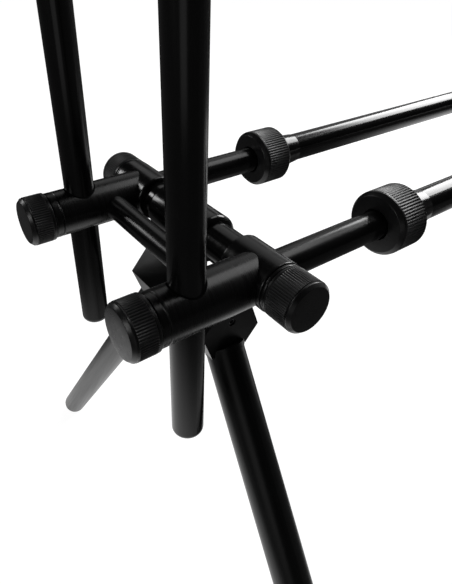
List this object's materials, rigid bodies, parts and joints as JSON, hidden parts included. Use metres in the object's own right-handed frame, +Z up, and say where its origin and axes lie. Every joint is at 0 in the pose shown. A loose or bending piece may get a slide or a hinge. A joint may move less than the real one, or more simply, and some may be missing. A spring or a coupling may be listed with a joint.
{
  "type": "rod pod",
  "caption": "Black folding rod pod with telescopic twin main bars, sliding clamped uprights, knurled knobs and splayed hinged legs, for holding fishing rods over a bank.",
  "frame": {"origin": "on the ground, in the middle between the four feet", "axes": "+X across the pod to the right, +Y along the main bars from the front end to the rear end, +Z up"},
  "size_m": [0.5306, 1.1746, 0.7058],
  "materials": {
    "black_anodised": "satin black anodised",
    "black_knurled": "satin black anodised, straight knurl",
    "steel": "plain steel",
    "rubber": "moulded, matt",
    "nylon": "moulded"
  },
  "bodies": {
    "bars": {"left_outer_tube": "black_anodised", "right_outer_tube": "black_anodised", "bar_ferrules": "black_anodised", "bar_collets": "nylon"},
    "front_end": {"front_left_inner_bar": "black_anodised", "front_right_inner_bar": "black_anodised", "front_left_cross_block": "black_anodised", "front_right_cross_block": "black_anodised", "front_left_upright_block": "black_anodised", "front_right_upright_block": "black_anodised", "front_cross_tube": "black_anodised", "front_axle": "steel", "front_knob_washers": "black_anodised", "front_hub_spacers": "black_anodised", "front_clamp_pads": "nylon"},
    "front_legs": {"front_leg_hub": "black_anodised", "front_leg_bar": "black_anodised", "front_leg_screws": "steel", "front_leg_studs": "black_anodised", "front_left_leg": "black_anodised", "front_right_leg": "black_anodised", "front_leg_feet": "rubber"},
    "front_left_upright": {"front_left_upright": "black_anodised"},
    "front_left_clamp_knob": {"front_left_clamp_knob": "black_knurled", "front_left_clamp_screw": "steel"},
    "front_left_hub_knob": {"front_left_hub_knob": "black_knurled"},
    "front_left_collar": {"front_left_collar": "black_knurled"},
    "front_right_upright": {"front_right_upright": "black_anodised"},
    "front_right_clamp_knob": {"front_right_clamp_knob": "black_knurled", "front_right_clamp_screw": "steel"},
    "front_right_hub_knob": {"front_right_hub_knob": "black_knurled"},
    "front_right_collar": {"front_right_collar": "black_knurled"},
    "rear_end": {"rear_left_inner_bar": "black_anodised", "rear_right_inner_bar": "black_anodised", "rear_left_cross_block": "black_anodised", "rear_right_cross_block": "black_anodised", "rear_left_upright_block": "black_anodised", "rear_right_upright_block": "black_anodised", "rear_cross_tube": "black_anodised", "rear_axle": "steel", "rear_knob_washers": "black_anodised", "rear_hub_spacers": "black_anodised", "rear_clamp_pads": "nylon"},
    "rear_legs": {"rear_leg_hub": "black_anodised", "rear_leg_bar": "black_anodised", "rear_leg_screws": "steel", "rear_leg_studs": "black_anodised", "rear_left_leg": "black_anodised", "rear_right_leg": "black_anodised", "rear_leg_feet": "rubber"},
    "rear_left_upright": {"rear_left_upright": "black_anodised"},
    "rear_left_clamp_knob": {"rear_left_clamp_knob": "black_knurled", "rear_left_clamp_screw": "steel"},
    "rear_left_hub_knob": {"rear_left_hub_knob": "black_knurled"},
    "rear_left_collar": {"rear_left_collar": "black_knurled"},
    "rear_right_upright": {"rear_right_upright": "black_anodised"},
    "rear_right_clamp_knob": {"rear_right_clamp_knob": "black_knurled", "rear_right_clamp_screw": "steel"},
    "rear_right_hub_knob": {"rear_right_hub_knob": "black_knurled"},
    "rear_right_collar": {"rear_right_collar": "black_knurled"}
  },
  "joints": [
    {"name": "front_bar_slide", "type": "slide", "parent": "bars", "child": "front_end", "axis": [0, -1, 0], "range_m": [-0.018, 0.25]},
    {"name": "front_leg_fold", "type": "hinge", "parent": "front_end", "child": "front_legs", "pos_m": [0, -0.5, 0.40026], "axis": [1, 0, 0], "range_deg": [-8, 65]},
    {"name": "front_left_upright_slide", "type": "slide", "parent": "front_end", "child": "front_left_upright", "axis": [0, 0, 1], "range_m": [-0.25, 0.075]},
    {"name": "front_left_clamp_knob_turn", "type": "hinge", "parent": "front_end", "child": "front_left_clamp_knob", "pos_m": [-0.063, -0.5795, 0.40026], "axis": [0, -1, 0], "range_deg": [0, 360]},
    {"name": "front_left_hub_knob_turn", "type": "hinge", "parent": "front_end", "child": "front_left_hub_knob", "pos_m": [-0.0918, -0.5, 0.40026], "axis": [-1, 0, 0], "range_deg": [0, 360]},
    {"name": "front_left_collar_twist", "type": "hinge", "parent": "bars", "child": "front_left_collar", "pos_m": [-0.063, -0.3895, 0.40026], "axis": [0, -1, 0], "range_deg": [0, 180]},
    {"name": "front_right_upright_slide", "type": "slide", "parent": "front_end", "child": "front_right_upright", "axis": [0, 0, 1], "range_m": [-0.25, 0.075]},
    {"name": "front_right_clamp_knob_turn", "type": "hinge", "parent": "front_end", "child": "front_right_clamp_knob", "pos_m": [0.063, -0.5795, 0.40026], "axis": [0, -1, 0], "range_deg": [0, 360]},
    {"name": "front_right_hub_knob_turn", "type": "hinge", "parent": "front_end", "child": "front_right_hub_knob", "pos_m": [0.0918, -0.5, 0.40026], "axis": [1, 0, 0], "range_deg": [0, 360]},
    {"name": "front_right_collar_twist", "type": "hinge", "parent": "bars", "child": "front_right_collar", "pos_m": [0.063, -0.3895, 0.40026], "axis": [0, -1, 0], "range_deg": [0, 180]},
    {"name": "rear_bar_slide", "type": "slide", "parent": "bars", "child": "rear_end", "axis": [0, 1, 0], "range_m": [-0.018, 0.25]},
    {"name": "rear_leg_fold", "type": "hinge", "parent": "rear_end", "child": "rear_legs", "pos_m": [0, 0.5, 0.40026], "axis": [-1, 0, 0], "range_deg": [-8, 65]},
    {"name": "rear_left_upright_slide", "type": "slide", "parent": "rear_end", "child": "rear_left_upright", "axis": [0, 0, 1], "range_m": [-0.25, 0.075]},
    {"name": "rear_left_clamp_knob_turn", "type": "hinge", "parent": "rear_end", "child": "rear_left_clamp_knob", "pos_m": [-0.063, 0.5795, 0.40026], "axis": [0, 1, 0], "range_deg": [0, 360]},
    {"name": "rear_left_hub_knob_turn", "type": "hinge", "parent": "rear_end", "child": "rear_left_hub_knob", "pos_m": [-0.0918, 0.5, 0.40026], "axis": [-1, 0, 0], "range_deg": [0, 360]},
    {"name": "rear_left_collar_twist", "type": "hinge", "parent": "bars", "child": "rear_left_collar", "pos_m": [-0.063, 0.3895, 0.40026], "axis": [0, 1, 0], "range_deg": [0, 180]},
    {"name": "rear_right_upright_slide", "type": "slide", "parent": "rear_end", "child": "rear_right_upright", "axis": [0, 0, 1], "range_m": [-0.25, 0.075]},
    {"name": "rear_right_clamp_knob_turn", "type": "hinge", "parent": "rear_end", "child": "rear_right_clamp_knob", "pos_m": [0.063, 0.5795, 0.40026], "axis": [0, 1, 0], "range_deg": [0, 360]},
    {"name": "rear_right_hub_knob_turn", "type": "hinge", "parent": "rear_end", "child": "rear_right_hub_knob", "pos_m": [0.0918, 0.5, 0.40026], "axis": [1, 0, 0], "range_deg": [0, 360]},
    {"name": "rear_right_collar_twist", "type": "hinge", "parent": "bars", "child": "rear_right_collar", "pos_m": [0.063, 0.3895, 0.40026], "axis": [0, 1, 0], "range_deg": [0, 180]}
  ]
}
